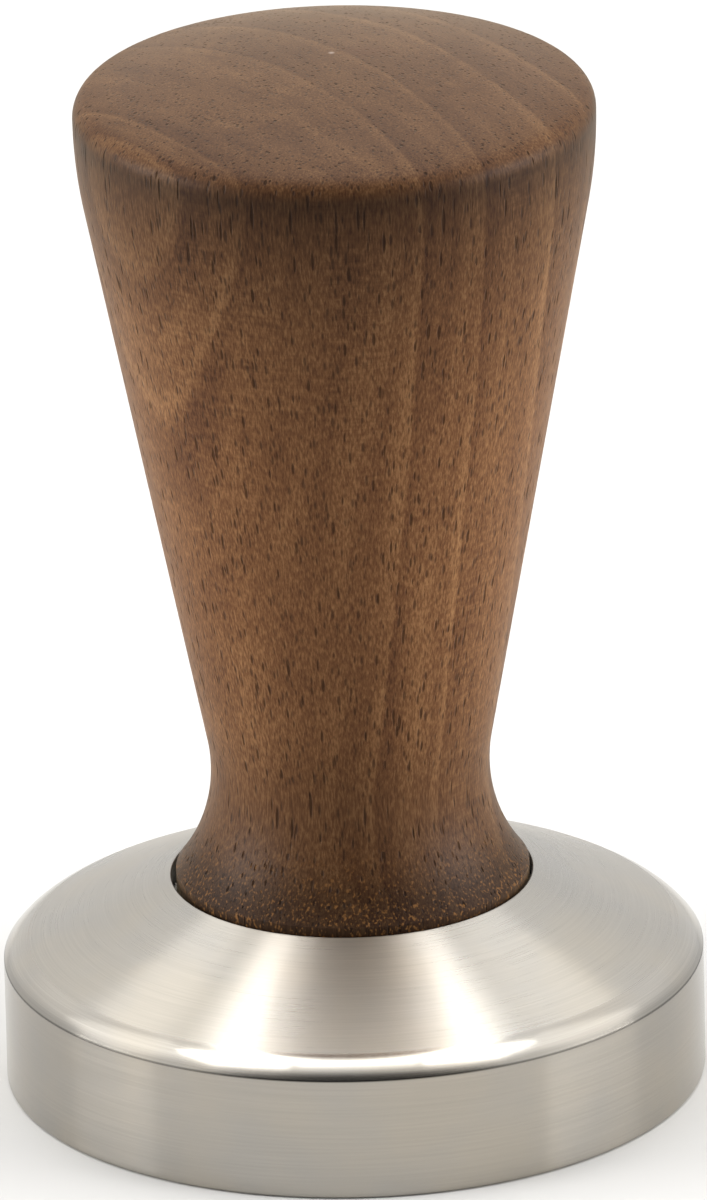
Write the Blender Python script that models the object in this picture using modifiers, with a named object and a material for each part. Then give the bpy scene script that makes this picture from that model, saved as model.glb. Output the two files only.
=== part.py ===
"""Espresso tamper: a turned steel base, a turned walnut handle, and the screw joint that holds them together.

Lengths are in metres, +Z is up, and the origin is the centre of the flat face that presses the coffee.
The handle unscrews from the base with a right-hand thread, so every thread here shares one helix per pitch.
"""

import math

import bmesh
import bpy
from mathutils import Matrix

MM = 0.001

# Base: one piece of stainless steel, turned all over.
BASE_RADIUS = 29.25 * MM
BASE_HEIGHT = 17.7 * MM  # up to the edge of the socket
WALL_HEIGHT = 10.5 * MM  # the straight side, up to the crease
FILLET_RADIUS = 5.1 * MM  # the bullnose above the crease
CREASE_ANGLE = math.radians(36)  # how far the bullnose already leans in where it starts
BOTTOM_CHAMFER = 0.35 * MM
SOCKET_RADIUS = 15.1 * MM
SOCKET_DEPTH = 2.2 * MM
LIP_CHAMFER = 0.2 * MM

# Handle: one piece of walnut. Heights are above its own foot.
HANDLE_LENGTH = 74.2 * MM
WIDEST_RADIUS = 21.63 * MM
DOME_RADIUS = 66.0 * MM  # the slightly domed top
EDGE_RADIUS = 2.1 * MM  # between the dome and the side
SHOULDER_RADIUS = 41.0 * MM  # the long curve that brings the taper upright
NECK_RADIUS = 11.63 * MM
NECK_HEIGHT = 11.25 * MM
NECK_ARC_RADIUS = 14.5 * MM
FOOT_CHAMFER = 0.3 * MM

# Joint between them: a set screw in the base, a threaded insert in the handle, a rubber ring under the foot.
SCREW_RADIUS = 4.0 * MM
SCREW_PITCH = 1.25 * MM
SCREW_LENGTH = 20.0 * MM
SCREW_IN_BASE = 8.0 * MM
SCREW_END_CHAMFER = 0.5 * MM
KEY_ACROSS_FLATS = 4.0 * MM
KEY_DEPTH = 4.0 * MM
DRILL_PAST_SCREW = 1.0 * MM
DRILL_POINT_ANGLE = math.radians(31)
COUNTERSINK = 0.5 * MM

INSERT_WALL = 0.85 * MM  # between its inner and outer threads
INSERT_LENGTH = 13.0 * MM
INSERT_RECESS = 1.5 * MM  # above the foot of the handle
INSERT_PITCH = 2.5 * MM
INSERT_THREAD_DEPTH = 0.9 * MM
INSERT_END_CHAMFER = 0.4 * MM
SLOT_WIDTH = 1.6 * MM
SLOT_DEPTH = 2.0 * MM
BORE_PAST_SCREW = 1.0 * MM

RING_SECTION_RADIUS = 1.0 * MM
RING_STANDS_PROUD = 0.2 * MM  # below the foot of the handle

# Clearances
FIT_GAP = 0.3 * MM
FOOT_SIDE_GAP = 0.35 * MM
THREAD_GAP = 0.25 * MM

# Smoothness
TURNED_STEPS = 48
THREAD_STEPS = 16
CUT_OVERRUN = 1.0 * MM
MERGE = 0.001 * MM
SHARP_ANGLE = math.radians(30)

# Places that follow from the sizes
SOCKET_FLOOR = BASE_HEIGHT - SOCKET_DEPTH
FOOT_RADIUS = SOCKET_RADIUS - FOOT_SIDE_GAP
FOOT_Z = SOCKET_FLOOR + FIT_GAP + RING_STANDS_PROUD
SCREW_Z = SOCKET_FLOOR - SCREW_IN_BASE
SCREW_TOP = SCREW_Z + SCREW_LENGTH
INSERT_RADIUS = SCREW_RADIUS + THREAD_GAP + INSERT_WALL + INSERT_THREAD_DEPTH
INSERT_Z = FOOT_Z + INSERT_RECESS
INSERT_BORE = INSERT_RADIUS + FIT_GAP
BORE_DEPTH = max(INSERT_RECESS + INSERT_LENGTH, SCREW_TOP - FOOT_Z) + BORE_PAST_SCREW
RING_RADIUS = (INSERT_BORE + FOOT_RADIUS) / 2  # to the middle of the rubber
RING_Z = SOCKET_FLOOR + FIT_GAP + RING_SECTION_RADIUS


# ---- scene ----


def clear_scene():
    for old in list(bpy.data.objects):
        bpy.data.objects.remove(old, do_unlink=True)


def new_collection(name):
    made = bpy.data.collections.new(name)
    bpy.context.scene.collection.children.link(made)
    return made


def new_material(name, colour, roughness, metallic):
    made = bpy.data.materials.new(name)
    made.use_nodes = True
    shader = made.node_tree.nodes["Principled BSDF"]
    shader.inputs["Base Color"].default_value = (*colour, 1.0)
    shader.inputs["Roughness"].default_value = roughness
    shader.inputs["Metallic"].default_value = metallic
    made.diffuse_color = (*colour, 1.0)
    return made


def place(obj, collection, z=0.0, parent=None):
    collection.objects.link(obj)
    obj.parent = parent
    obj.location.z = z
    return obj


def hide_cutter(obj):
    obj.hide_render = True
    obj.display_type = "WIRE"
    return obj


# ---- outlines: lists of (radius, height), always from the axis out, down the outer side and back ----


def arc(centre, radius, start, end, steps):
    """Points on a circle from one angle to the other, angles measured up from the outward direction."""
    points = []
    for step in range(steps + 1):
        angle = start + (end - start) * step / steps
        points.append((centre[0] + radius * math.cos(angle), centre[1] + radius * math.sin(angle)))
    return points


def cone_below(point, centre, radius):
    """The angle at which a straight flank from the point meets a bullnose with this centre and radius."""
    run = point[0] - centre[0]
    rise = point[1] - centre[1]
    return math.atan2(rise, run) - math.acos(radius / math.hypot(run, rise))


def taper_angle(neck_centre, shoulder_centre):
    """The lean of the straight taper that touches both the neck's arc and the shoulder's arc."""
    run = neck_centre[0] - shoulder_centre[0]
    rise = shoulder_centre[1] - neck_centre[1]
    return math.atan2(rise, run) - math.acos((NECK_ARC_RADIUS + SHOULDER_RADIUS) / math.hypot(run, rise))


def base_outline():
    nose = (
        BASE_RADIUS - FILLET_RADIUS * math.cos(CREASE_ANGLE),
        WALL_HEIGHT - FILLET_RADIUS * math.sin(CREASE_ANGLE),
    )
    socket_edge = (SOCKET_RADIUS, BASE_HEIGHT)
    flank = cone_below(socket_edge, nose, FILLET_RADIUS)
    lip = (
        SOCKET_RADIUS + LIP_CHAMFER * math.sin(flank),
        BASE_HEIGHT - LIP_CHAMFER * math.cos(flank),
    )
    outline = [(0.0, SOCKET_FLOOR), (SOCKET_RADIUS, SOCKET_FLOOR)]
    outline.append((SOCKET_RADIUS, BASE_HEIGHT - LIP_CHAMFER))
    outline.append(lip)
    outline += arc(nose, FILLET_RADIUS, flank, CREASE_ANGLE, 6)
    outline.append((BASE_RADIUS, BOTTOM_CHAMFER))
    outline.append((BASE_RADIUS - BOTTOM_CHAMFER, 0.0))
    outline.append((0.0, 0.0))
    return outline


def handle_outline():
    # the edge arc touches the dome from inside, and its widest point is where the shoulder ends
    dome_centre = HANDLE_LENGTH - DOME_RADIUS
    edge_out = WIDEST_RADIUS - EDGE_RADIUS
    edge_up = math.sqrt((DOME_RADIUS - EDGE_RADIUS) ** 2 - edge_out**2)
    edge = (edge_out, dome_centre + edge_up)
    dome_end = math.atan2(edge_up, edge_out)
    shoulder = (WIDEST_RADIUS - SHOULDER_RADIUS, edge[1])
    neck = (NECK_RADIUS + NECK_ARC_RADIUS, NECK_HEIGHT)
    taper = taper_angle(neck, shoulder)
    foot_angle = math.acos((neck[0] - FOOT_RADIUS) / NECK_ARC_RADIUS)
    foot_corner = NECK_HEIGHT - NECK_ARC_RADIUS * math.sin(foot_angle)
    foot_chamfer = min(FOOT_CHAMFER, foot_corner / 2)
    ring_gap = RING_SECTION_RADIUS + FIT_GAP
    groove_top = RING_Z - FOOT_Z + ring_gap
    core = INSERT_BORE - INSERT_THREAD_DEPTH

    outline = arc((0.0, dome_centre), DOME_RADIUS, math.pi / 2, dome_end, 6)
    outline[0] = (0.0, HANDLE_LENGTH)
    outline += arc(edge, EDGE_RADIUS, dome_end, 0.0, 5)[1:]
    outline += arc(shoulder, SHOULDER_RADIUS, 0.0, -taper, 4)[1:]
    outline += arc(neck, NECK_ARC_RADIUS, math.pi - taper, math.pi + foot_angle, 10)
    outline.append((FOOT_RADIUS, foot_chamfer))
    outline.append((FOOT_RADIUS - foot_chamfer, 0.0))
    outline.append((RING_RADIUS + ring_gap, 0.0))
    outline.append((RING_RADIUS + ring_gap, groove_top))
    outline.append((RING_RADIUS - ring_gap, groove_top))
    outline.append((RING_RADIUS - ring_gap, 0.0))
    outline.append((INSERT_BORE + FOOT_CHAMFER, 0.0))
    outline.append((INSERT_BORE, FOOT_CHAMFER))
    outline.append((INSERT_BORE, INSERT_RECESS))
    outline.append((core, INSERT_RECESS))
    outline.append((core, BORE_DEPTH))
    outline.append((0.0, BORE_DEPTH + core * math.tan(DRILL_POINT_ANGLE)))
    return outline


def rod_outline(length, radius, chamfer, end_radius):
    """A plain rod whose ends are turned down at 45 degrees, to a chamfer inside end_radius."""
    lean = radius - end_radius + chamfer
    return [
        (0.0, length),
        (end_radius - chamfer, length),
        (radius, length - lean),
        (radius, lean),
        (end_radius - chamfer, 0.0),
        (0.0, 0.0),
    ]


# ---- solids ----


def turned(name, outline, steps=TURNED_STEPS):
    """A solid of revolution: the outline stands at +X and a Screw modifier turns it about Z."""
    mesh = bpy.data.meshes.new(name)
    vertices = [(radius, 0.0, height) for radius, height in outline]
    edges = [(index, index + 1) for index in range(len(outline) - 1)]
    mesh.from_pydata(vertices, edges, [])
    obj = bpy.data.objects.new(name, mesh)
    screw = obj.modifiers.new("turn", "SCREW")
    screw.axis = "Z"
    screw.angle = 2 * math.pi
    screw.steps = steps
    screw.render_steps = steps
    screw.use_merge_vertices = True
    screw.merge_threshold = MERGE
    return obj


def threaded_rod(name, radius, depth, pitch, low, high, origin_height):
    """A rod with a right-hand V thread, cut square at low and high.

    The thread's form is spun one turn while it climbs one pitch, so its last column lands on its first.
    origin_height is the height of the rod's own origin in the tamper, which sets the phase of the helix.
    """
    crest = pitch / 8
    flank = depth * math.tan(math.radians(30))
    form = [
        (radius, crest / 2),
        (radius - depth, crest / 2 + flank),
        (radius - depth, pitch - crest / 2 - flank),
        (radius, pitch - crest / 2),
    ]
    work = bmesh.new()
    last = None
    for turn in range(math.floor(low / pitch) - 2, math.ceil(high / pitch) + 2):
        for out, up in form:
            vertex = work.verts.new((out, 0.0, turn * pitch + up))
            if last:
                work.edges.new((last, vertex))
            last = vertex
    bmesh.ops.spin(
        work,
        geom=work.verts[:] + work.edges[:],
        cent=(0, 0, 0),
        axis=(0, 0, 1),
        dvec=(0, 0, pitch / THREAD_STEPS),
        angle=2 * math.pi,
        steps=THREAD_STEPS,
        use_merge=False,
    )
    bmesh.ops.remove_doubles(work, verts=work.verts, dist=MERGE)
    for height, up in ((low, -1), (high, 1)):
        bmesh.ops.bisect_plane(
            work,
            geom=work.verts[:] + work.edges[:] + work.faces[:],
            dist=MERGE / 10,
            plane_co=(0, 0, height),
            plane_no=(0, 0, up),
            clear_outer=True,
        )
    open_edges = [edge for edge in work.edges if edge.is_boundary]
    bmesh.ops.holes_fill(work, edges=open_edges, sides=0)
    bmesh.ops.recalc_face_normals(work, faces=work.faces)
    phase = 2 * math.pi * origin_height / pitch
    bmesh.ops.rotate(work, verts=work.verts, cent=(0, 0, 0), matrix=Matrix.Rotation(phase, 3, "Z"))
    mesh = bpy.data.meshes.new(name)
    work.to_mesh(mesh)
    work.free()
    return bpy.data.objects.new(name, mesh)


def prism(name, sides, radius, length):
    """An upright prism centred on its origin."""
    work = bmesh.new()
    bmesh.ops.create_cone(
        work, cap_ends=True, segments=sides, radius1=radius, radius2=radius, depth=length
    )
    mesh = bpy.data.meshes.new(name)
    work.to_mesh(mesh)
    work.free()
    return bpy.data.objects.new(name, mesh)


def block(name, size):
    work = bmesh.new()
    bmesh.ops.create_cube(work, size=1.0)
    bmesh.ops.scale(work, vec=size, verts=work.verts)
    mesh = bpy.data.meshes.new(name)
    work.to_mesh(mesh)
    work.free()
    return bpy.data.objects.new(name, mesh)


def combine(obj, operation, other):
    """A live Boolean. The exact solver leaves cracks where thread flanks graze their blanks."""
    boolean = obj.modifiers.new(other.name, "BOOLEAN")
    boolean.operation = operation
    boolean.solver = "MANIFOLD"
    boolean.object = other


def finish(obj, material):
    """Turns the modifiers into a plain mesh, shaded smooth except at its real edges."""
    depsgraph = bpy.context.evaluated_depsgraph_get()
    shaped = bpy.data.meshes.new_from_object(obj.evaluated_get(depsgraph))
    outline = obj.data
    obj.modifiers.clear()
    obj.data = shaped
    bpy.data.meshes.remove(outline)
    shaped.name = obj.name
    shaped.materials.clear()
    shaped.materials.append(material)
    shaped.shade_smooth()
    shaped.set_sharp_from_angle(angle=SHARP_ANGLE)


# ---- the pieces ----


def screw_thread_depth():
    return SCREW_PITCH * math.cos(math.radians(30)) * 5 / 8


def screw_tap(name, low, high, origin_height):
    """The cutter for a hole that the set screw runs in."""
    return threaded_rod(
        name, SCREW_RADIUS + THREAD_GAP, screw_thread_depth(), SCREW_PITCH, low, high, origin_height
    )


def make_base(parts, cutters, steel):
    base = place(turned("tamper_base", base_outline()), parts)
    drill = SCREW_RADIUS + THREAD_GAP - screw_thread_depth()
    mouth = SCREW_RADIUS + THREAD_GAP + COUNTERSINK
    depth = SCREW_IN_BASE + DRILL_PAST_SCREW
    pilot = turned(
        "pilot_drill",
        [
            (0.0, CUT_OVERRUN),
            (mouth + CUT_OVERRUN, CUT_OVERRUN),
            (drill, drill - mouth),
            (drill, -depth),
            (0.0, -depth - drill * math.tan(DRILL_POINT_ANGLE)),
        ],
        TURNED_STEPS // 2,
    )
    hide_cutter(place(pilot, cutters, SOCKET_FLOOR))
    tap = screw_tap("base_tap", -SCREW_IN_BASE - DRILL_PAST_SCREW / 2, CUT_OVERRUN, SOCKET_FLOOR)
    hide_cutter(place(tap, cutters, SOCKET_FLOOR))
    combine(base, "DIFFERENCE", pilot)
    combine(base, "DIFFERENCE", tap)
    finish(base, steel)


def make_screw(parts, cutters, steel):
    screw = threaded_rod(
        "joining_screw",
        SCREW_RADIUS,
        screw_thread_depth(),
        SCREW_PITCH,
        -CUT_OVERRUN,
        SCREW_LENGTH + CUT_OVERRUN,
        SCREW_Z,
    )
    place(screw, parts, SCREW_Z)
    root = SCREW_RADIUS - screw_thread_depth()
    blank = turned(
        "screw_blank",
        rod_outline(SCREW_LENGTH, SCREW_RADIUS + CUT_OVERRUN, SCREW_END_CHAMFER, root),
        TURNED_STEPS // 2,
    )
    hide_cutter(place(blank, cutters, SCREW_Z))
    key = prism("key_socket", 6, KEY_ACROSS_FLATS / 2 / math.cos(math.radians(30)), 2 * KEY_DEPTH)
    hide_cutter(place(key, cutters, SCREW_Z + SCREW_LENGTH))
    combine(screw, "INTERSECT", blank)
    combine(screw, "DIFFERENCE", key)
    finish(screw, steel)


def make_insert(parts, cutters, brass, parent):
    insert = threaded_rod(
        "threaded_insert",
        INSERT_RADIUS,
        INSERT_THREAD_DEPTH,
        INSERT_PITCH,
        -CUT_OVERRUN,
        INSERT_LENGTH + CUT_OVERRUN,
        INSERT_Z,
    )
    place(insert, parts, INSERT_Z - FOOT_Z, parent)
    root = INSERT_RADIUS - INSERT_THREAD_DEPTH
    blank = turned(
        "insert_blank",
        rod_outline(INSERT_LENGTH, INSERT_RADIUS + CUT_OVERRUN, INSERT_END_CHAMFER, root),
        TURNED_STEPS // 2,
    )
    hide_cutter(place(blank, cutters, INSERT_Z))
    tap = screw_tap("insert_tap", -CUT_OVERRUN, INSERT_LENGTH + CUT_OVERRUN, INSERT_Z)
    hide_cutter(place(tap, cutters, INSERT_Z))
    slot = block("driver_slot", (4 * INSERT_RADIUS, SLOT_WIDTH, 2 * SLOT_DEPTH))
    hide_cutter(place(slot, cutters, INSERT_Z))
    combine(insert, "INTERSECT", blank)
    combine(insert, "DIFFERENCE", tap)
    combine(insert, "DIFFERENCE", slot)
    finish(insert, brass)


def make_handle(parts, cutters, walnut, parent):
    handle = place(turned("wood_handle", handle_outline()), parts, 0.0, parent)
    thread = threaded_rod(
        "wood_thread",
        INSERT_BORE,
        INSERT_THREAD_DEPTH + FIT_GAP / 2,
        INSERT_PITCH,
        INSERT_RECESS - CUT_OVERRUN / 2,
        INSERT_RECESS + INSERT_LENGTH + BORE_PAST_SCREW / 2,
        FOOT_Z,
    )
    hide_cutter(place(thread, cutters, FOOT_Z))
    combine(handle, "DIFFERENCE", thread)
    finish(handle, walnut)


def make_ring(parts, rubber, parent):
    bpy.ops.mesh.primitive_torus_add(
        major_radius=RING_RADIUS,
        minor_radius=RING_SECTION_RADIUS,
        major_segments=TURNED_STEPS,
        minor_segments=8,
    )
    ring = bpy.context.active_object
    for holder in list(ring.users_collection):
        holder.objects.unlink(ring)
    ring.name = "friction_ring"
    place(ring, parts, RING_Z - FOOT_Z, parent)
    finish(ring, rubber)


def make_tamper():
    clear_scene()
    parts = new_collection("espresso_tamper")
    cutters = new_collection("cutters")
    steel = new_material("turned_stainless", (0.56, 0.54, 0.50), 0.32, 1.0)
    screw_steel = new_material("screw_stainless", (0.42, 0.41, 0.40), 0.38, 1.0)
    brass = new_material("insert_brass", (0.66, 0.47, 0.20), 0.30, 1.0)
    walnut = new_material("oiled_walnut", (0.235, 0.135, 0.078), 0.55, 0.0)
    rubber = new_material("black_rubber", (0.018, 0.018, 0.018), 0.75, 0.0)
    lift = place(bpy.data.objects.new("handle_lift", None), parts, FOOT_Z)
    bpy.context.view_layer.update()
    make_base(parts, cutters, steel)
    make_screw(parts, cutters, screw_steel)
    make_ring(parts, rubber, lift)
    make_insert(parts, cutters, brass, lift)
    make_handle(parts, cutters, walnut, lift)


make_tamper()
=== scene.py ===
import math

import bmesh
import bpy
from mathutils import Matrix, Vector


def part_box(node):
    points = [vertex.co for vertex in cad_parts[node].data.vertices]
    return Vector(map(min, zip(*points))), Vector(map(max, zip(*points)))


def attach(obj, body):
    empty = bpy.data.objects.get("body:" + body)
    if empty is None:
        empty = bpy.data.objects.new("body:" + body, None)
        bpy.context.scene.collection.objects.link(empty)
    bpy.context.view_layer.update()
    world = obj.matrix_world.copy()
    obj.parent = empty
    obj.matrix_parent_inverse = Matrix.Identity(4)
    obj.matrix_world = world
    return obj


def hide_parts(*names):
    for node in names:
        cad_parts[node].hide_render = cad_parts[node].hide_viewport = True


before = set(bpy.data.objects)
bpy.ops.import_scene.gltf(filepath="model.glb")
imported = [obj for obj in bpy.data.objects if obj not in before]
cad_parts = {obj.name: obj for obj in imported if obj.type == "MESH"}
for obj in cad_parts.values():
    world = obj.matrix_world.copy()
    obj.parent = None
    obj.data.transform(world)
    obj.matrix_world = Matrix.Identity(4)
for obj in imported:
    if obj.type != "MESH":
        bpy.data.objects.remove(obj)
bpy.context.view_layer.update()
mm = 0.001
print("frame loaded:", ", ".join(sorted(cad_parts)))


def toLinear(hexColour):
    # sRGB hex to the linear colour a socket takes
    channels = [int(hexColour[place : place + 2], 16) / 255 for place in (1, 3, 5)]
    linear = [c / 12.92 if c <= 0.04045 else ((c + 0.055) / 1.055) ** 2.4 for c in channels]
    return (*linear, 1.0)


def addNode(tree, kind, inputs=None, stops=None, **settings):
    # an input is a socket to link, a hex colour or a plain value; stops fill a ramp
    node = tree.nodes.new("ShaderNode" + kind)
    for name, value in settings.items():
        setattr(node, name, value)
    for key, value in (inputs or {}).items():
        if isinstance(value, bpy.types.NodeSocket):
            tree.links.new(value, node.inputs[key])
        else:
            node.inputs[key].default_value = toLinear(value) if isinstance(value, str) else value
    for place, tone in stops or []:
        stop = node.color_ramp.elements.new(place)
        stop.color = toLinear(tone) if isinstance(tone, str) else (tone, tone, tone, 1.0)
    if stops:
        ramp = node.color_ramp.elements
        ramp.remove(ramp[0])
        ramp.remove(ramp[-1])
    return node


def newMaterial(name):
    material = bpy.data.materials.new(name)
    material.use_nodes = True
    tree = material.node_tree
    tree.nodes.clear()
    return material, tree


def inMillimetres(tree):
    # the piece's own coordinates, in mm
    coords = addNode(tree, "TexCoord").outputs["Object"]
    return addNode(tree, "Mapping", {"Vector": coords, "Scale": (1000, 1000, 1000)}).outputs[0]


def closeMaterial(tree, shader):
    addNode(tree, "OutputMaterial", {"Surface": shader.outputs[0]})


def startOutline(radius, height):
    # a turned outline is drawn in millimetres, at y = 0, and spun later
    work = bmesh.new()
    return {"work": work, "last": work.verts.new((radius, 0, height))}


def lineTo(outline, radius, height, hold=0.0):
    # a straight run, with a holding point near each end so that smooth shading keeps it straight
    start = outline["last"].co.copy()
    end = Vector((radius, 0, height))
    run = end - start
    stops = [1.0]
    if hold and run.length > 3 * hold:
        stops = [hold / run.length, 1 - hold / run.length, 1.0]
    for share in stops:
        made = bmesh.ops.extrude_vert_indiv(outline["work"], verts=[outline["last"]])
        outline["last"] = made["verts"][0]
        outline["last"].co = start + run * share


def arcBy(outline, radius, height, sweep, steps):
    # the last point swings round this centre; a positive sweep goes from outwards to upwards
    made = bmesh.ops.spin(
        outline["work"],
        geom=[outline["last"]],
        cent=(radius, 0, height),
        axis=(0, -1, 0),
        angle=sweep,
        steps=steps,
        use_merge=False,
    )
    points = [part for part in made["geom_last"] if isinstance(part, bmesh.types.BMVert)]
    outline["last"] = points[0]


def toPiece(work, name, material, lift=0.0, sharpDegrees=28):
    # millimetres to metres, seams closed, faces out, and an object at the origin
    bmesh.ops.scale(work, vec=(mm, mm, mm), verts=work.verts)
    bmesh.ops.translate(work, vec=(0, 0, lift * mm), verts=work.verts)
    bmesh.ops.remove_doubles(work, verts=work.verts, dist=0.0005 * mm)
    bmesh.ops.recalc_face_normals(work, faces=work.faces)
    mesh = bpy.data.meshes.new(name)
    work.to_mesh(mesh)
    work.free()
    mesh.materials.append(material)
    mesh.shade_smooth()
    mesh.set_sharp_from_angle(angle=math.radians(sharpDegrees))
    piece = bpy.data.objects.new(name, mesh)
    bpy.context.scene.collection.objects.link(piece)
    return piece


def spinOutline(outline, steps):
    work = outline["work"]
    bmesh.ops.spin(
        work,
        geom=work.verts[:] + work.edges[:],
        cent=(0, 0, 0),
        axis=(0, 0, 1),
        angle=2 * math.pi,
        steps=steps,
        use_merge=True,
    )
    return work


def standsFor(piece, node, body):
    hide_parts(node)
    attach(piece, body)
    print(piece.name, "made:", len(piece.data.polygons), "faces")


# the steel base, sizes in mm
steelBase = {
    "steps": 256,
    "wallHeight": 10.5,  # up to the crease
    "noseRadius": 5.1,  # the bullnose above the crease
    "creaseDegrees": 36,  # how far the bullnose leans in where it starts
    "bottomRound": 0.35,
    "edgeHeight": 17.7,
    "socketRadius": 15.1,
    "socketDepth": 2.2,
    "lipRound": 0.12,
    "cornerRound": 0.25,  # the tool's nose leaves this in the socket's corner
    "holeRadius": 4.28,
    "holeDepth": 9.0,
    "drillTip": 2.4,
    "countersink": 0.5,
    "colour": "#b3afa8",
    "colourWarm": "#bbb4a8",
    "coneRoughness": 0.28,  # the cone was brushed last and hardest
    "noseRoughness": 0.135,
    "wallRoughness": 0.155,
    "roughChange": 0.04,  # the finish comes and goes by this much
    "noseBlend": 0.15,  # mm over which the cone's finish gives way to the bullnose's
    # painted shade: a darker band at the foot of the bullnose
    "noseShadeTone": 0.72,
    "noseShadeReach": (0.3, 0.8),  # mm above the crease
    # painted shade: the wall's colour is darkened
    "wallShadeTone": 0.87,
    # painted shade along the crease: how dark, and how far from it
    "creaseShadeTone": 0.45,
    "creaseShadeReach": (0.04, 0.12),  # mm from the crease
    "anisotropic": 0.98,
    "lineSpacing": 0.11,  # mm between brush lines; the real ones, near 0.03, are too fine to show
    "lineDepth": 0.0016,  # mm
    "lineTone": (0.91, 1.06),
    "lineChange": 2.2,  # how much the lines differ from one side to the other
    "zoneScale": 0.09,  # zones about 11 mm across
}


def brushedStainless(values, noseStart):
    # stainless steel, turned and then brushed round its axis: satin, with reflections drawn out
    # into wedges that point at the axis and fine rings that catch the light
    material, tree = newMaterial("brushedStainless")
    point = inMillimetres(tree)
    split = addNode(tree, "SeparateXYZ", {0: point})
    x, y, z = split.outputs[0], split.outputs[1], split.outputs[2]
    flat = addNode(tree, "CombineXYZ", {0: x, 1: y})
    radius = addNode(tree, "VectorMath", {0: flat.outputs[0]}, operation="LENGTH").outputs["Value"]
    heading = addNode(tree, "VectorMath", {0: flat.outputs[0]}, operation="NORMALIZE")
    around = addNode(tree, "SeparateXYZ", {0: heading.outputs[0]})

    # lines: noise in radius and height only, with a slow change round the axis
    lineScale = 1 / values["lineSpacing"]
    lineRadius = addNode(tree, "Math", {0: radius, 1: lineScale}, operation="MULTIPLY")
    lineHeight = addNode(tree, "Math", {0: z, 1: lineScale}, operation="MULTIPLY")
    lineCos = addNode(
        tree, "Math", {0: around.outputs[0], 1: values["lineChange"]}, operation="MULTIPLY"
    )
    lineSin = addNode(
        tree, "Math", {0: around.outputs[1], 1: values["lineChange"]}, operation="MULTIPLY"
    )
    lineVector = addNode(
        tree,
        "CombineXYZ",
        {0: lineRadius.outputs[0], 1: lineHeight.outputs[0], 2: lineCos.outputs[0]},
    )
    lines = addNode(
        tree,
        "TexNoise",
        {
            "Vector": lineVector.outputs[0],
            "W": lineSin.outputs[0],
            "Scale": 1.0,
            "Detail": 2.0,
            "Roughness": 0.6,
        },
        noise_dimensions="4D",
    ).outputs[0]
    # broad zones where the brushing bit a little harder
    zones = addNode(
        tree,
        "TexNoise",
        {"Vector": point, "Scale": values["zoneScale"], "Detail": 3.0},
    ).outputs[0]
    tint = addNode(tree, "MapRange", {"Value": zones, "From Min": 0.35, "From Max": 0.65})
    colour = addNode(
        tree,
        "Mix",
        {0: tint.outputs[0], 6: values["colour"], 7: values["colourWarm"]},
        data_type="RGBA",
    )
    lineTone = addNode(
        tree,
        "MapRange",
        {
            "Value": lines,
            "From Min": 0.25,
            "From Max": 0.75,
            "To Min": values["lineTone"][0],
            "To Max": values["lineTone"][1],
        },
    )
    toned = addNode(
        tree,
        "VectorMath",
        {0: colour.outputs[2], "Scale": lineTone.outputs[0]},
        operation="SCALE",
    )
    # the bullnose is nearly polished, the cone and the wall are satin
    onNose = addNode(
        tree,
        "MapRange",
        {
            "Value": radius,
            "From Min": noseStart - values["noseBlend"],
            "From Max": noseStart + values["noseBlend"],
            "To Min": values["coneRoughness"],
            "To Max": values["noseRoughness"],
        },
    )
    onWall = addNode(
        tree,
        "MapRange",
        {
            "Value": z,
            "From Min": values["wallHeight"] + 0.02,
            "From Max": values["wallHeight"] - 0.05,
        },
    )
    finish = addNode(
        tree,
        "Mix",
        {0: onWall.outputs[0], 2: onNose.outputs[0], 3: values["wallRoughness"]},
    )
    uneven = addNode(tree, "Math", {0: zones, 1: lines}, operation="ADD")
    smoothest = addNode(
        tree, "Math", {0: finish.outputs[0], 1: values["roughChange"]}, operation="SUBTRACT"
    )
    rough = addNode(
        tree,
        "Math",
        {0: uneven.outputs[0], 1: values["roughChange"], 2: smoothest.outputs[0]},
        operation="MULTIPLY_ADD",
    )
    # painted shade: the colour is darkened along the crease, where a groove would hold shade
    fromCrease = addNode(tree, "Math", {0: z, 1: values["wallHeight"]}, operation="SUBTRACT")
    fromCrease = addNode(tree, "Math", {0: fromCrease.outputs[0]}, operation="ABSOLUTE")
    paintedShade = addNode(
        tree,
        "MapRange",
        {
            "Value": fromCrease.outputs[0],
            "From Min": values["creaseShadeReach"][0],
            "From Max": values["creaseShadeReach"][1],
            "To Min": values["creaseShadeTone"],
        },
    )
    # painted shade: a darker band at the foot of the bullnose, and the wall painted greyer than
    # the cone, for the dimmer surroundings they reflect
    noseShade = addNode(
        tree,
        "MapRange",
        {
            "Value": z,
            "From Min": values["wallHeight"] + values["noseShadeReach"][0],
            "From Max": values["wallHeight"] + values["noseShadeReach"][1],
            "To Min": values["noseShadeTone"],
        },
    )
    wallShadeTone = addNode(
        tree,
        "MapRange",
        {"Value": onWall.outputs[0], "To Min": noseShade.outputs[0], "To Max": values["wallShadeTone"]},
    )
    # the painted shade of the crease, the bullnose's foot and the wall, together
    paintedShade = addNode(
        tree, "Math", {0: paintedShade.outputs[0], 1: wallShadeTone.outputs[0]}, operation="MULTIPLY"
    )
    toned = addNode(
        tree,
        "VectorMath",
        {0: toned.outputs[0], "Scale": paintedShade.outputs[0]},
        operation="SCALE",
    )
    bump = addNode(
        tree,
        "Bump",
        {"Strength": 1.0, "Distance": values["lineDepth"] * mm, "Height": lines},
    )
    tangent = addNode(tree, "Tangent", direction_type="RADIAL", axis="Z")
    shader = addNode(
        tree,
        "BsdfPrincipled",
        {
            "Base Color": toned.outputs[0],
            "Metallic": 1.0,
            "Roughness": rough.outputs[0],
            "Anisotropic": values["anisotropic"],
            "Anisotropic Rotation": 0.25,  # across the brush lines
            "Tangent": tangent.outputs[0],
            "Normal": bump.outputs[0],
        },
    )
    closeMaterial(tree, shader)
    return material


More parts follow.
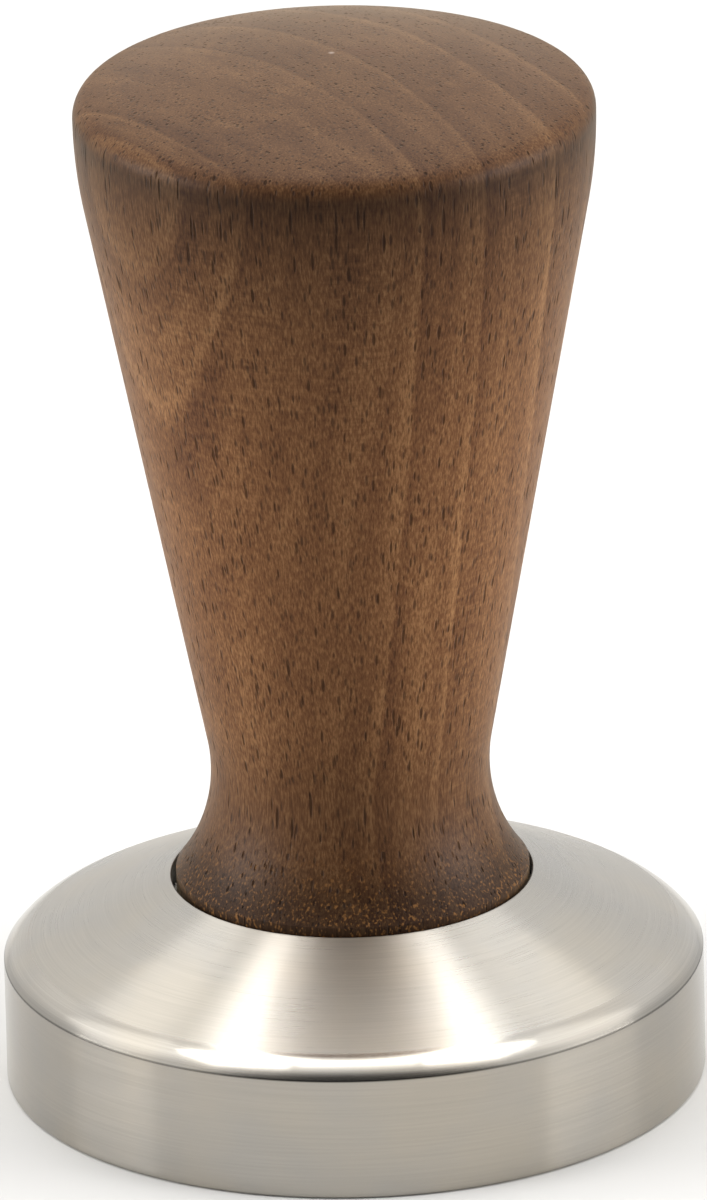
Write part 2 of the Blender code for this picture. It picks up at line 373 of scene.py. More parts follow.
def makeBase(values):
    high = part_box("tamper_base")[1]
    radius = high.x / mm
    edge = values["edgeHeight"]
    # the bullnose's centre, and the lean of the cone that runs from it up to the socket
    lean = math.radians(values["creaseDegrees"])
    noseX = radius - values["noseRadius"] * math.cos(lean)
    noseZ = values["wallHeight"] - values["noseRadius"] * math.sin(lean)
    run = values["socketRadius"] - noseX
    rise = edge - noseZ
    flank = math.atan2(rise, run) - math.acos(values["noseRadius"] / math.hypot(run, rise))
    # the lip's round touches the cone and the socket wall
    lip = values["lipRound"]
    lipX = values["socketRadius"] + lip
    coneX = noseX + values["noseRadius"] * math.cos(flank)
    coneZ = noseZ + values["noseRadius"] * math.sin(flank)
    lipZ = coneZ + (coneX - lipX) / math.tan(flank) - lip / math.sin(flank)
    floorZ = edge - values["socketDepth"]
    corner = values["cornerRound"]
    mouth = values["holeRadius"] + values["countersink"]
    bottom = values["bottomRound"]

    outline = startOutline(0, 0)
    lineTo(outline, radius - bottom, 0, 0.2)
    arcBy(outline, radius - bottom, bottom, math.pi / 2, 5)
    lineTo(outline, radius, values["wallHeight"], 0.15)
    arcBy(outline, noseX, noseZ, flank - lean, 14)
    lineTo(outline, lipX + lip * math.cos(flank), lipZ + lip * math.sin(flank), 0.15)
    arcBy(outline, lipX, lipZ, math.pi - flank, 6)
    lineTo(outline, values["socketRadius"], floorZ + corner, 0.05)
    arcBy(outline, values["socketRadius"] - corner, floorZ + corner, -math.pi / 2, 4)
    lineTo(outline, mouth, floorZ, 0.05)
    lineTo(outline, values["holeRadius"], floorZ - values["countersink"])
    lineTo(outline, values["holeRadius"], floorZ - values["holeDepth"])
    lineTo(outline, 0, floorZ - values["holeDepth"] - values["drillTip"])
    work = spinOutline(outline, values["steps"])
    piece = toPiece(work, "baseSteel", brushedStainless(values, coneX))
    standsFor(piece, "tamper_base", "base")


def threadedRod(radius, pitch, low, high, steps):
    # a right-hand thread: its form is spun one turn while it climbs one pitch,
    # then the ends are cut square
    halfAngle = math.radians(30)
    depth = pitch * math.cos(halfAngle) * 5 / 8
    crest = pitch / 8
    flank = depth * math.tan(halfAngle)
    soft = crest * 0.3  # the rolled thread's crests and roots are a little round
    form = [
        (radius - soft * 0.5, crest / 2 + soft * 0.3),
        (radius - depth + soft * 0.5, crest / 2 + flank),
        (radius - depth, crest / 2 + flank + soft),
        (radius - depth, pitch - crest / 2 - flank - soft),
        (radius - depth + soft * 0.5, pitch - crest / 2 - flank),
        (radius - soft * 0.5, pitch - crest / 2 - soft * 0.3),
        (radius, pitch - crest / 4),
        (radius, pitch + crest / 4),
    ]
    work = bmesh.new()
    last = None
    for turn in range(math.floor(low / pitch) - 2, math.ceil(high / pitch) + 2):
        for out, up in form:
            vertex = work.verts.new((out, 0, turn * pitch + up))
            if last:
                work.edges.new((last, vertex))
            last = vertex
    bmesh.ops.spin(
        work,
        geom=work.verts[:] + work.edges[:],
        cent=(0, 0, 0),
        axis=(0, 0, 1),
        dvec=(0, 0, pitch / steps),
        angle=2 * math.pi,
        steps=steps,
        use_merge=False,
    )
    bmesh.ops.remove_doubles(work, verts=work.verts, dist=0.001)
    for height, up in ((low, -1), (high, 1)):
        bmesh.ops.bisect_plane(
            work,
            geom=work.verts[:] + work.edges[:] + work.faces[:],
            dist=0.0001,
            plane_co=(0, 0, height),
            plane_no=(0, 0, up),
            clear_outer=True,
        )
    bmesh.ops.holes_fill(work, edges=[edge for edge in work.edges if edge.is_boundary], sides=0)
    bmesh.ops.recalc_face_normals(work, faces=work.faces)
    return work


# the set screw that joins base and handle, sizes in mm
setScrew = {
    "steps": 48,
    "radius": 4.0,
    "pitch": 1.25,
    "chamfer": 0.9,
    "keyWidth": 4.0,  # across the flats of the hexagon socket
    "keyDepth": 4.0,
    "colour": "#a9a8a4",
    "colourDull": "#8b8983",
    "roughness": 0.24,
    "filmRough": 0.22,  # how much rougher the film in the roots is
    "filmReach": (0.65, 0.1),  # mm in from the crests
    "filmSpread": 1.7,
    "blotchScale": 0.8,  # blotches about 1.2 mm across
    "scratchScale": 9.0,  # scratches about 0.11 mm apart
    "scratchDepth": 0.006,
}


def rolledScrewSteel(values):
    # zinc-plated steel with a rolled thread: smooth bright flanks, a duller film in the roots
    material, tree = newMaterial("rolledScrewSteel")
    point = inMillimetres(tree)
    split = addNode(tree, "SeparateXYZ", {0: point})
    flat = addNode(tree, "CombineXYZ", {0: split.outputs[0], 1: split.outputs[1]})
    radius = addNode(tree, "VectorMath", {0: flat.outputs[0]}, operation="LENGTH").outputs["Value"]
    film = addNode(
        tree,
        "MapRange",
        {
            "Value": radius,
            "From Min": values["radius"] - values["filmReach"][0],
            "From Max": values["radius"] - values["filmReach"][1],
        },
    )
    blotch = addNode(
        tree, "TexNoise", {"Vector": point, "Scale": values["blotchScale"], "Detail": 4.0}
    )
    share = addNode(
        tree, "Math", {0: film.outputs[0], 1: blotch.outputs[0]}, operation="MULTIPLY"
    )
    share = addNode(
        tree,
        "Math",
        {0: share.outputs[0], 1: values["filmSpread"]},
        operation="MULTIPLY",
        use_clamp=True,
    )
    colour = addNode(
        tree,
        "Mix",
        {0: share.outputs[0], 6: values["colourDull"], 7: values["colour"]},
        data_type="RGBA",
    )
    rough = addNode(
        tree,
        "MapRange",
        {
            "Value": share.outputs[0],
            "To Min": values["roughness"] + values["filmRough"],
            "To Max": values["roughness"],
        },
    )
    scratch = addNode(
        tree, "TexNoise", {"Vector": point, "Scale": values["scratchScale"], "Detail": 3.0}
    )
    bump = addNode(
        tree,
        "Bump",
        {"Strength": 0.5, "Distance": values["scratchDepth"] * mm, "Height": scratch.outputs[0]},
    )
    shader = addNode(
        tree,
        "BsdfPrincipled",
        {
            "Base Color": colour.outputs[2],
            "Metallic": 1.0,
            "Roughness": rough.outputs[0],
            "Normal": bump.outputs[0],
        },
    )
    closeMaterial(tree, shader)
    return material


def makeScrew(values):
    low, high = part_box("joining_screw")
    bottom, top = low.z / mm, high.z / mm
    work = threadedRod(values["radius"], values["pitch"], bottom, top, values["steps"])
    # the ends are turned down at 45 degrees: points outside that cone are drawn in to it
    for vertex in work.verts:
        out = math.hypot(vertex.co.x, vertex.co.y)
        inwards = min(vertex.co.z - bottom, top - vertex.co.z)
        most = values["radius"] - values["chamfer"] + inwards
        if out > most:
            bmesh.ops.scale(work, vec=(most / out, most / out, 1), verts=[vertex])
    # the top end opens into a hexagon socket with a drilled cone at its floor
    cap = max(work.faces, key=lambda face: face.calc_center_median().z)
    rim = list(cap.edges)
    bmesh.ops.delete(work, geom=[cap], context="FACES_ONLY")
    corner = values["keyWidth"] / 2 / math.cos(math.radians(30))
    hexagon = bmesh.ops.create_circle(
        work, segments=6, radius=corner, matrix=Matrix.Translation((0, 0, top))
    )["verts"]
    mouth = list({edge for vertex in hexagon for edge in vertex.link_edges})
    bmesh.ops.bridge_loops(work, edges=rim + mouth)
    sunk = bmesh.ops.extrude_edge_only(work, edges=mouth)["geom"]
    deep = [part for part in sunk if isinstance(part, bmesh.types.BMVert)]
    bmesh.ops.translate(work, vec=(0, 0, -values["keyDepth"]), verts=deep)
    floor = bmesh.ops.contextual_create(work, geom=deep)["faces"]
    tip = bmesh.ops.poke(work, faces=floor)["verts"]
    bmesh.ops.translate(work, vec=(0, 0, -values["keyWidth"] * 0.25), verts=tip)
    piece = toPiece(work, "screwSteel", rolledScrewSteel(values), sharpDegrees=40)
    standsFor(piece, "joining_screw", "base")


# the rubber ring under the foot
rubberRing = {
    "steps": 128,
    "sectionSteps": 24,
    "colour": "#1b1b1d",
    "colourWorn": "#2c2b2c",
    "roughness": 0.55,
    "bloomRough": 0.15,
    "bloomScale": 0.7,  # bloom in patches about 1.4 mm across
    "pitScale": 7.0,  # pits about 0.14 mm apart
    "pitDepth": 0.01,  # mm
}


def mouldedRubber(values):
    # nitrile rubber, moulded: nearly black, matt, with a faint bloom
    material, tree = newMaterial("mouldedRubber")
    point = inMillimetres(tree)
    bloom = addNode(
        tree, "TexNoise", {"Vector": point, "Scale": values["bloomScale"], "Detail": 4.0}
    )
    pits = addNode(tree, "TexNoise", {"Vector": point, "Scale": values["pitScale"], "Detail": 2.0})
    share = addNode(
        tree, "MapRange", {"Value": bloom.outputs[0], "From Min": 0.4, "From Max": 0.7}
    )
    colour = addNode(
        tree,
        "Mix",
        {0: share.outputs[0], 6: values["colour"], 7: values["colourWorn"]},
        data_type="RGBA",
    )
    rough = addNode(
        tree,
        "Math",
        {0: share.outputs[0], 1: values["bloomRough"], 2: values["roughness"]},
        operation="MULTIPLY_ADD",
    )
    bump = addNode(
        tree,
        "Bump",
        {"Strength": 0.6, "Distance": values["pitDepth"] * mm, "Height": pits.outputs[0]},
    )
    shader = addNode(
        tree,
        "BsdfPrincipled",
        {
            "Base Color": colour.outputs[2],
            "Roughness": rough.outputs[0],
            "Normal": bump.outputs[0],
        },
    )
    closeMaterial(tree, shader)
    return material


def makeRing(values):
    low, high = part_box("friction_ring")
    section = (high.z - low.z) / 2 / mm
    middle = high.x / mm - section
    place = Matrix.Translation((middle, 0, low.z / mm + section))
    work = bmesh.new()
    bmesh.ops.create_circle(
        work,
        segments=values["sectionSteps"],
        radius=section,
        matrix=place @ Matrix.Rotation(math.pi / 2, 4, "X"),
    )
    spinOutline({"work": work}, values["steps"])
    piece = toPiece(work, "ringRubber", mouldedRubber(values), sharpDegrees=60)
    standsFor(piece, "friction_ring", "ring")


# the brass insert in the wood
brassInsert = {
    "colour": "#c9a35c",
    "colourDull": "#a5803f",
    "roughness": 0.28,
    "tarnishRough": 0.2,
    "tarnishScale": 0.45,  # patches about 2 mm across
    "markScale": 1.6,
    "markDepth": 0.004,  # mm
}


def machinedBrass(values):
    # free-cutting brass straight off the lathe: yellow, with fine tool marks and browner patches
    material, tree = newMaterial("machinedBrass")
    point = inMillimetres(tree)
    tarnish = addNode(
        tree, "TexNoise", {"Vector": point, "Scale": values["tarnishScale"], "Detail": 5.0}
    )
    share = addNode(
        tree, "MapRange", {"Value": tarnish.outputs[0], "From Min": 0.4, "From Max": 0.65}
    )
    toolMarks = addNode(
        tree,
        "TexWave",
        {"Vector": point, "Scale": values["markScale"], "Distortion": 0.4, "Detail": 1.0},
        wave_type="BANDS",
        bands_direction="Z",
    )
    colour = addNode(
        tree,
        "Mix",
        {0: share.outputs[0], 6: values["colour"], 7: values["colourDull"]},
        data_type="RGBA",
    )
    rough = addNode(
        tree,
        "Math",
        {0: share.outputs[0], 1: values["tarnishRough"], 2: values["roughness"]},
        operation="MULTIPLY_ADD",
    )
    bump = addNode(
        tree,
        "Bump",
        {"Strength": 0.5, "Distance": values["markDepth"] * mm, "Height": toolMarks.outputs[0]},
    )
    shader = addNode(
        tree,
        "BsdfPrincipled",
        {
            "Base Color": colour.outputs[2],
            "Metallic": 1.0,
            "Roughness": rough.outputs[0],
            "Normal": bump.outputs[0],
        },
    )
    closeMaterial(tree, shader)
    return material


def dressInsert(values):
    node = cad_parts["threaded_insert"]
    node.data.materials.clear()
    node.data.materials.append(machinedBrass(values))
    print("threaded_insert dressed")


# the walnut handle, sizes in mm
walnutHandle = {
    "steps": 256,
    "domeRadius": 66.0,
    "edgeRadius": 2.1,
    "shoulderRadius": 41.0,
    "neckRadius": 11.63,
    "neckHeight": 11.25,
    "neckArc": 14.5,
    "footRadius": 14.75,
    "footRound": 0.3,
    "grooveInner": 9.225,
    "grooveOuter": 11.825,
    "grooveTop": 2.1,
    "boreRadius": 6.3,
    "boreMouth": 1.5,
    "coreRadius": 5.4,
    "boreDepth": 15.5,
    "drillTip": 3.2,
    "sideways": 0.1,  # the foot doesn't sit quite in the middle of its socket
    "grainHeading": 38.0,  # degrees, where the bark side of the blank was
    "pithDistance": 130.0,  # mm from the middle of the handle to the middle of the tree
    "ringLines": [-20.3, -17.9, -5.3, 0.6, 8.4, 14.2],  # where the growth rings cross the blank
    # a ring's tone, by mm from its line: a pale line closes it, then the next one starts dark
    "ringTones": [(-1.2, 0.5), (-0.12, 0.7), (0.2, 0.34), (1.9, 0.45)],
    "ringSpan": 26.0,  # half the blank
    "wobble": 0.8,  # mm
    "driftScale": (0.05, 0.05, 0.018),  # the rings wander over 20 mm, and 55 along the grain
    "streakScale": (0.45, 0.13, 0.03),  # streaks about 2 mm wide and 33 mm long
    "streakStrength": 0.75,
    "fibreStrength": 1.5,
    "curlStrength": 0.55,
    "dark": "#452817",
    "middle": "#67452a",
    "light": "#8a6543",
    # painted shade by height, in mm, and strength: darker under the rim's edge, where less light
    # falls, and towards the foot
    "shadeAlongGrain": [
        (16, 0.16),
        (20, 0.22),
        (23, 0.48),
        (27, 0.63),
        (34, 0.87),
        (46, 0.99),
        (60, 0.96),
        (72, 0.78),
        (79, 0.56),
        (83, 0.38),
        (84.8, 0.25),
        (86.4, 0.52),
        (90, 0.52),
    ],
    "poreColour": "#2c190d",
    "poreSpacing": 0.47,  # mm between the wide vessels
    "poreLength": 5.0,  # mm
    "poreShade": 0.72,  # how dark an open pore looks
    "poreWidths": (0.4, 0.28),  # widest in a ring's dark start and its pale end
    "fleckSpacing": 0.34,  # mm between the small vessels, drawn a little wider than life
    "fleckLength": 1.7,  # mm
    "fleckShade": 0.62,
    "fleckWidth": 0.46,  # of the spacing
    "poreDepth": 0.04,  # mm
    "fleckDepth": 0.4,  # of a pore's
    "fibreDepth": 0.25,
    "poreRough": 0.3,
    "fibreWidth": 0.16,  # mm
    "patchScale": (0.11, 0.11, 0.035),  # curl comes in patches about 9 mm wide and 29 mm long
    "rippleSpacing": 0.34,  # mm from crest to crest of the curl
    "rippleWidth": 2.5,  # mm across the grain
    "footHeights": (25.0, 18.0),  # the flare's speckle fades in between these heights
    # painted glints on the foot, in gold
    "footGlintColour": "#a87540",
    "glintScale": (4.2, 4.2, 2.6),  # specks about 0.24 mm wide and 0.4 mm long
    "footGlintShare": 0.34,
    "centreMark": 0.24,  # where the tailstock pressed
    "centreShare": 0.5,
    "smudgeShare": 0.5,
    "smudgePlace": (-0.9, -0.15, 0),
    "smudgeScale": (330, 620, 0),  # about 3 mm by 1.6 mm to each side
    "topHeights": (88.0, 89.0),  # the marks in the middle of the top start between these
    # pale grey of the dry end grain, also painted on the top as sheen
    "dryEndAndSheen": "#a89a90",
    "topSheenShare": 0.045,
    "topSheenHeights": (86.0, 88.0),
    "roughness": 0.5,
    "gloss": 0.09,
    "sheen": 0.12,  # sanding dust and raised fibres at a glancing angle
    "sheenTint": "#f0dcb8",
}


def oiledWalnut(values):
    # black walnut, turned between centres, sanded and oiled: a low sheen, open pores that show as
    # dots on the end grain and as dashes along the sides, growth rings as broad bands
    material, tree = newMaterial("oiledWalnut")
    objectCoords = addNode(tree, "TexCoord").outputs["Object"]
    # x runs away from the tree's middle, y along the rings, z along the grain, all in mm
    blank = addNode(
        tree,
        "Mapping",
        {
            "Vector": objectCoords,
            "Scale": (1000, 1000, 1000),
            "Rotation": (0, 0, -math.radians(values["grainHeading"])),
        },
    ).outputs[0]

    # growth rings
    slow = addNode(tree, "Mapping", {"Vector": blank, "Scale": values["driftScale"]})
    drift = addNode(
        tree, "TexNoise", {"Vector": slow.outputs[0], "Scale": 1.0, "Detail": 3.0}
    ).outputs[0]
    fromPith = addNode(
        tree,
        "Mapping",
        {"Vector": blank, "Location": (values["pithDistance"], 0, 0), "Scale": (1, 1, 0)},
    )
    away = addNode(
        tree, "VectorMath", {0: fromPith.outputs[0]}, operation="LENGTH"
    ).outputs["Value"]
    wander = addNode(
        tree,
        "MapRange",
        {
            "Value": drift,
            "From Min": 0.2,
            "From Max": 0.8,
            "To Min": -values["wobble"] - values["pithDistance"],
            "To Max": values["wobble"] - values["pithDistance"],
        },
    )
    depth = addNode(tree, "Math", {0: away, 1: wander.outputs[0]}, operation="ADD")
    span = values["ringSpan"]
    share = addNode(
        tree, "MapRange", {"Value": depth.outputs[0], "From Min": -span, "From Max": span}
    )
    stops = []
    for line in values["ringLines"]:
        for offset, tone in values["ringTones"]:
            stops.append(((line + offset + span) / (2 * span), tone))
    ringTone = addNode(tree, "ValToRGB", {0: share.outputs[0]}, stops=stops).outputs[0]

    # streaks along the grain, fibres, and a fine mottle
    streakSpace = addNode(tree, "Mapping", {"Vector": blank, "Scale": values["streakScale"]})
    streak = addNode(
        tree,
        "TexNoise",
        {"Vector": streakSpace.outputs[0], "Scale": 1.0, "Detail": 4.0, "Roughness": 0.62},
    ).outputs[0]
    fibreSpace = addNode(
        tree,
        "Mapping",
        {"Vector": blank, "Scale": (1 / values["fibreWidth"], 1 / values["fibreWidth"], 1.1)},
    )
    fibre = addNode(
        tree,
        "TexNoise",
        {"Vector": fibreSpace.outputs[0], "Scale": 1.0, "Detail": 2.0, "Roughness": 0.6},
    ).outputs[0]

    # pores: long thin cells, wider and closer in the dark start of each ring
    poreSpace = addNode(
        tree,
        "Mapping",
        {
            "Vector": blank,
            "Scale": (
                1 / values["poreSpacing"], 1 / values["poreSpacing"], 1 / values["poreLength"]
            ),
        },
    )
    cells = addNode(
        tree, "TexVoronoi", {"Vector": poreSpace.outputs[0], "Scale": 1.0}, feature="F1"
    )
    pick = addNode(tree, "SeparateColor", {0: cells.outputs["Color"]}).outputs[0]
    openness = addNode(
        tree,
        "MapRange",
        {
            "Value": ringTone,
            "From Min": 0.34,
            "From Max": 0.56,
            "To Min": values["poreWidths"][0],
            "To Max": values["poreWidths"][1],
        },
    )
    poreSize = addNode(
        tree, "Math", {0: openness.outputs[0], 1: pick}, operation="MULTIPLY"
    )
    poreEdge = addNode(
        tree, "Math", {0: poreSize.outputs[0], 1: cells.outputs["Distance"]}, operation="SUBTRACT"
    )
    pores = addNode(
        tree,
        "MapRange",
        {"Value": poreEdge.outputs[0], "From Min": -0.03, "From Max": 0.09},
    ).outputs[0]
    fleckSpace = addNode(
        tree,
        "Mapping",
        {
            "Vector": blank,
            "Location": (3.3, 1.7, 0.9),
            "Scale": (
                1 / values["fleckSpacing"], 1 / values["fleckSpacing"], 1 / values["fleckLength"]
            ),
        },
    )
    fleckCells = addNode(
        tree, "TexVoronoi", {"Vector": fleckSpace.outputs[0], "Scale": 1.0}, feature="F1"
    )
    fleckPick = addNode(tree, "SeparateColor", {0: fleckCells.outputs["Color"]}).outputs[1]
    fleckSize = addNode(
        tree, "MapRange", {"Value": fleckPick, "From Min": 0.2, "To Max": values["fleckWidth"]}
    )
    fleckEdge = addNode(
        tree,
        "Math",
        {0: fleckSize.outputs[0], 1: fleckCells.outputs["Distance"]},
        operation="SUBTRACT",
    )
    flecks = addNode(
        tree,
        "MapRange",
        {"Value": fleckEdge.outputs[0], "From Min": -0.05, "From Max": 0.16},
    ).outputs[0]

    # curl: in patches, short bright and dark ripples lie across the grain
    patchSpace = addNode(tree, "Mapping", {"Vector": blank, "Scale": values["patchScale"]})
    patch = addNode(
        tree, "TexNoise", {"Vector": patchSpace.outputs[0], "Scale": 1.0, "Detail": 2.0}
    ).outputs[0]
    curled = addNode(tree, "MapRange", {"Value": patch, "From Min": 0.5, "From Max": 0.64})
    rippleSpace = addNode(
        tree,
        "Mapping",
        {
            "Vector": blank,
            "Scale": (
                1 / values["rippleWidth"], 1 / values["rippleWidth"], 1 / values["rippleSpacing"]
            ),
        },
    )
    ripple = addNode(
        tree, "TexNoise", {"Vector": rippleSpace.outputs[0], "Scale": 1.0, "Detail": 2.0}
    ).outputs[0]

    # tone: rings, streaks, fibres and curl add up, then pick a brown
    streakTone = values["streakStrength"]
    mixTone = addNode(
        tree, "Math", {0: streak, 1: streakTone, 2: -streakTone / 2}, operation="MULTIPLY_ADD"
    )
    mixTone = addNode(tree, "Math", {0: ringTone, 1: mixTone.outputs[0]}, operation="ADD")
    fibreTone = values["fibreStrength"]
    fibreTone = addNode(
        tree, "Math", {0: fibre, 1: fibreTone, 2: -fibreTone / 2}, operation="MULTIPLY_ADD"
    )
    mixTone = addNode(
        tree, "Math", {0: mixTone.outputs[0], 1: fibreTone.outputs[0]}, operation="ADD"
    )
    curlTone = values["curlStrength"]
    rippleTone = addNode(
        tree, "Math", {0: ripple, 1: curlTone, 2: -curlTone / 2}, operation="MULTIPLY_ADD"
    )
    mixTone = addNode(
        tree,
        "Math",
        {0: rippleTone.outputs[0], 1: curled.outputs[0], 2: mixTone.outputs[0]},
        operation="MULTIPLY_ADD",
    )
    woodColour = addNode(
        tree,
        "ValToRGB",
        {0: mixTone.outputs[0]},
        stops=[(0.02, values["dark"]), (0.5, values["middle"]), (0.98, values["light"])],
    )
    fleckShare = addNode(tree, "Math", {0: flecks, 1: values["fleckShade"]}, operation="MULTIPLY")
    marked = addNode(
        tree,
        "Mix",
        {0: fleckShare.outputs[0], 6: woodColour.outputs[0], 7: values["poreColour"]},
        data_type="RGBA",
    )
    poreShare = addNode(tree, "Math", {0: pores, 1: values["poreShade"]}, operation="MULTIPLY")
    colour = addNode(
        tree,
        "Mix",
        {0: poreShare.outputs[0], 6: marked.outputs[2], 7: values["poreColour"]},
        data_type="RGBA",
    )

    heightNow = addNode(tree, "SeparateXYZ", {0: blank}).outputs[2]
    # the ramp takes shares only: heights are put over 100 mm, and tones over the highest
    heightShare = addNode(tree, "MapRange", {"Value": heightNow, "From Min": 0, "From Max": 100})
    highest = 1.2
    # painted shade by height darkens the wood's colour
    heightShadeRamp = addNode(
        tree,
        "ValToRGB",
        {0: heightShare.outputs[0]},
        stops=[(place / 100, tone / highest) for place, tone in values["shadeAlongGrain"]],
    )
    heightShade = addNode(tree, "Math", {0: heightShadeRamp.outputs[0], 1: highest}, operation="MULTIPLY")
    colour = addNode(
        tree,
        "VectorMath",
        {0: colour.outputs[2], "Scale": heightShade.outputs[0]},
        operation="SCALE",
    )

    # painted glints: the foot flares across the grain, and the glint of its cut fibre ends is
    # painted there as gold specks
    footNess = addNode(
        tree,
        "MapRange",
        {
            "Value": heightNow,
            "From Min": values["footHeights"][0],
            "From Max": values["footHeights"][1],
        },
    )
    glintSpace = addNode(tree, "Mapping", {"Vector": blank, "Scale": values["glintScale"]})
    glint = addNode(
        tree, "TexNoise", {"Vector": glintSpace.outputs[0], "Scale": 1.0, "Detail": 1.0}
    ).outputs[0]
    glint = addNode(
        tree,
        "MapRange",
        {"Value": glint, "From Min": 0.56, "From Max": 0.74, "To Max": values["footGlintShare"]},
    )
    glintShare = addNode(
        tree, "Math", {0: footNess.outputs[0], 1: glint.outputs[0]}, operation="MULTIPLY"
    )
    colour = addNode(
        tree,
        "Mix",
        {0: glintShare.outputs[0], 6: colour.outputs[0], 7: values["footGlintColour"]},
        data_type="RGBA",
    )
    # a pale prick with a dark smudge beside it, where the tailstock held the blank
    topShape = addNode(
        tree, "Mapping", {"Vector": objectCoords, "Scale": (1000, 1000, 0)}
    )
    fromCentre = addNode(
        tree, "VectorMath", {0: topShape.outputs[0]}, operation="LENGTH"
    ).outputs["Value"]
    smudgeShape = addNode(
        tree,
        "Mapping",
        {
            "Vector": objectCoords,
            "Location": values["smudgePlace"],
            "Scale": values["smudgeScale"],
        },
    )
    fromSmudge = addNode(
        tree, "VectorMath", {0: smudgeShape.outputs[0]}, operation="LENGTH"
    ).outputs["Value"]
    onTop = addNode(
        tree,
        "MapRange",
        {
            "Value": heightNow,
            "From Min": values["topHeights"][0],
            "From Max": values["topHeights"][1],
        },
    )
    smudge = addNode(
        tree,
        "MapRange",
        {"Value": fromSmudge, "From Min": 1.0, "From Max": 0.1, "To Max": values["smudgeShare"]},
    )
    smudge = addNode(
        tree, "Math", {0: smudge.outputs[0], 1: onTop.outputs[0]}, operation="MULTIPLY"
    )
    colour = addNode(
        tree,
        "Mix",
        {0: smudge.outputs[0], 6: colour.outputs[2], 7: values["dark"]},
        data_type="RGBA",
    )
    prick = addNode(
        tree,
        "MapRange",
        {
            "Value": fromCentre,
            "From Min": values["centreMark"] * 1.4,
            "From Max": values["centreMark"] * 0.4,
            "To Max": values["centreShare"],
        },
    )
    prick = addNode(tree, "Math", {0: prick.outputs[0], 1: onTop.outputs[0]}, operation="MULTIPLY")
    colour = addNode(
        tree,
        "Mix",
        {0: prick.outputs[0], 6: colour.outputs[2], 7: values["dryEndAndSheen"]},
        data_type="RGBA",
    )
    # painted sheen: the top is painted greyer, partly for its drier end grain and partly for the
    # pale sheen it catches at a glancing angle
    topSheen = addNode(
        tree,
        "MapRange",
        {
            "Value": heightNow,
            "From Min": values["topSheenHeights"][0],
            "From Max": values["topSheenHeights"][1],
            "To Max": values["topSheenShare"],
        },
    )
    colour = addNode(
        tree,
        "Mix",
        {0: topSheen.outputs[0], 6: colour.outputs[2], 7: values["dryEndAndSheen"]},
        data_type="RGBA",
    )

    rough = addNode(
        tree,
        "Math",
        {0: pores, 1: values["poreRough"], 2: values["roughness"]},
        operation="MULTIPLY_ADD",
    )
    fibreHeight = addNode(tree, "Math", {0: fibre, 1: values["fibreDepth"]}, operation="MULTIPLY")
    height = addNode(
        tree, "Math", {0: fibreHeight.outputs[0], 1: pores}, operation="SUBTRACT"
    )
    height = addNode(
        tree,
        "Math",
        {0: flecks, 1: -values["fleckDepth"], 2: height.outputs[0]},
        operation="MULTIPLY_ADD",
    )
    bump = addNode(
        tree,
        "Bump",
        {"Strength": 1.0, "Distance": values["poreDepth"] * mm, "Height": height.outputs[0]},
    )
    shader = addNode(
        tree,
        "BsdfPrincipled",
        {
            "Base Color": colour.outputs[2],
            "Roughness": rough.outputs[0],
            "IOR": 1.48,
            "Specular IOR Level": values["gloss"],
            "Sheen Weight": values["sheen"],
            "Sheen Roughness": 0.4,
            "Sheen Tint": values["sheenTint"],
            "Normal": bump.outputs[0],
        },
    )
    closeMaterial(tree, shader)
    return material


def makeHandle(values):
    low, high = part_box("wood_handle")
    widest = high.x / mm
    length = (high.z - low.z) / mm
    # centres of the arcs, from the dome down to the neck
    domeZ = length - values["domeRadius"]
    edgeX = widest - values["edgeRadius"]
    edgeUp = math.sqrt((values["domeRadius"] - values["edgeRadius"]) ** 2 - edgeX**2)
    edgeZ = domeZ + edgeUp
    domeEnd = math.atan2(edgeUp, edgeX)
    shoulderX = widest - values["shoulderRadius"]
    neckX = values["neckRadius"] + values["neckArc"]
    neckZ = values["neckHeight"]
    run, rise = neckX - shoulderX, edgeZ - neckZ
    taper = math.atan2(rise, run) - math.acos(
        (values["neckArc"] + values["shoulderRadius"]) / math.hypot(run, rise)
    )
    footSweep = math.acos((neckX - values["footRadius"]) / values["neckArc"])
    foot = values["footRound"]

    outline = startOutline(0, length)
    arcBy(outline, 0, domeZ, domeEnd - math.pi / 2, 14)
    arcBy(outline, edgeX, edgeZ, -domeEnd, 10)
    arcBy(outline, shoulderX, edgeZ, -taper, 12)
    neckTopX = neckX - values["neckArc"] * math.cos(taper)
    neckTopZ = neckZ + values["neckArc"] * math.sin(taper)
    lineTo(outline, neckTopX, neckTopZ, 0.3)
    arcBy(outline, neckX, neckZ, taper + footSweep, 24)
    lineTo(outline, values["footRadius"], foot, 0.05)
    arcBy(outline, values["footRadius"] - foot, foot, -math.pi / 2, 5)
    lineTo(outline, values["grooveOuter"], 0)
    lineTo(outline, values["grooveOuter"], values["grooveTop"])
    lineTo(outline, values["grooveInner"], values["grooveTop"])
    lineTo(outline, values["grooveInner"], 0)
    lineTo(outline, values["boreRadius"] + foot, 0)
    lineTo(outline, values["boreRadius"], foot)
    lineTo(outline, values["boreRadius"], values["boreMouth"])
    lineTo(outline, values["coreRadius"], values["boreMouth"])
    lineTo(outline, values["coreRadius"], values["boreDepth"])
    lineTo(outline, 0, values["boreDepth"] + values["drillTip"])
    work = spinOutline(outline, values["steps"])
    # the outside sits a little off the screw's axis, the groove and the bore stay on it
    inside = values["boreDepth"] + values["drillTip"] + 0.3
    outside = []
    for vertex in work.verts:
        out = math.hypot(vertex.co.x, vertex.co.y)
        aboveGroove = vertex.co.z > values["grooveTop"] + 0.5 and out > values["boreRadius"] + 1
        if vertex.co.z > inside or aboveGroove or out > values["grooveOuter"] + 0.5:
            outside.append(vertex)
    bmesh.ops.translate(work, vec=(values["sideways"], 0, 0), verts=outside)
    piece = toPiece(work, "handleWalnut", oiledWalnut(values), lift=low.z / mm)
    standsFor(piece, "wood_handle", "handle")


